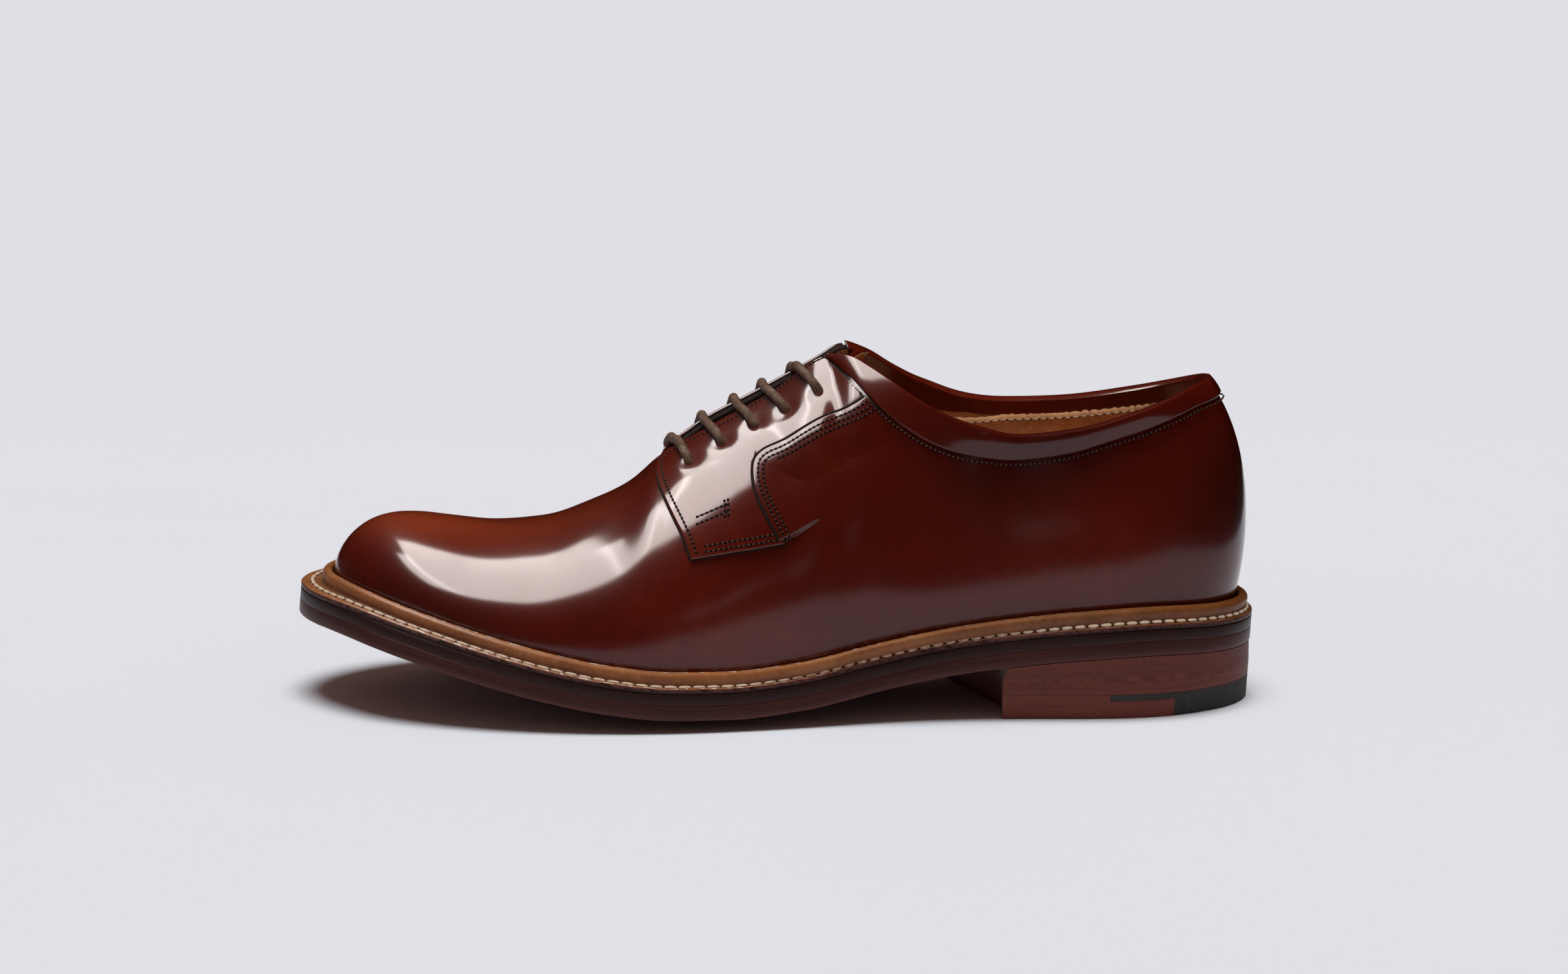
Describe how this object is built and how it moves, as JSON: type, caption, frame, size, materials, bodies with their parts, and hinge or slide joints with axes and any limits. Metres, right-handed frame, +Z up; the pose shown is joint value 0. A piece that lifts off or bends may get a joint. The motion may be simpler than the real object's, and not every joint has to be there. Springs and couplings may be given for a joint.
{
  "type": "derby shoe",
  "caption": "Left derby shoe with a round toe, tab facings, straight laces, a raised storm welt, a leather double sole and a stacked heel with a rubber tip.",
  "frame": {"origin": "centre of the bounding box on the floor plane", "axes": "+X to the toe, +Y to the lateral side, +Z up"},
  "size_m": [0.3035, 0.1056, 0.1126],
  "materials": {
    "upper_leather": "polished chestnut leather",
    "welt_leather": "tan welt leather, waxed",
    "midsole_edge": "dark dressed edge",
    "sole_edge": "brown dressed edge",
    "heel_leather": "brown dressed heel stack",
    "tip_rubber": "dark grey, matt",
    "lining_leather": "tan unfinished lining",
    "lace_cord": "waxed brown cord"
  },
  "bodies": {
    "root": {"upper": "upper_leather", "facing_lateral": "upper_leather", "facing_medial": "upper_leather", "collar_band": "upper_leather", "tongue": "upper_leather", "welt": "welt_leather", "midsole": "midsole_edge", "outsole": "sole_edge", "insole": "lining_leather", "heel_lift_upper": "heel_leather", "heel_lift_lower": "heel_leather", "heel_top_piece": "heel_leather", "heel_quarter_tip": "tip_rubber", "lace_bar_1": "lace_cord", "lace_bar_2": "lace_cord", "lace_bar_3": "lace_cord", "lace_bar_4": "lace_cord", "lace_bar_5": "lace_cord"}
  },
  "joints": []
}
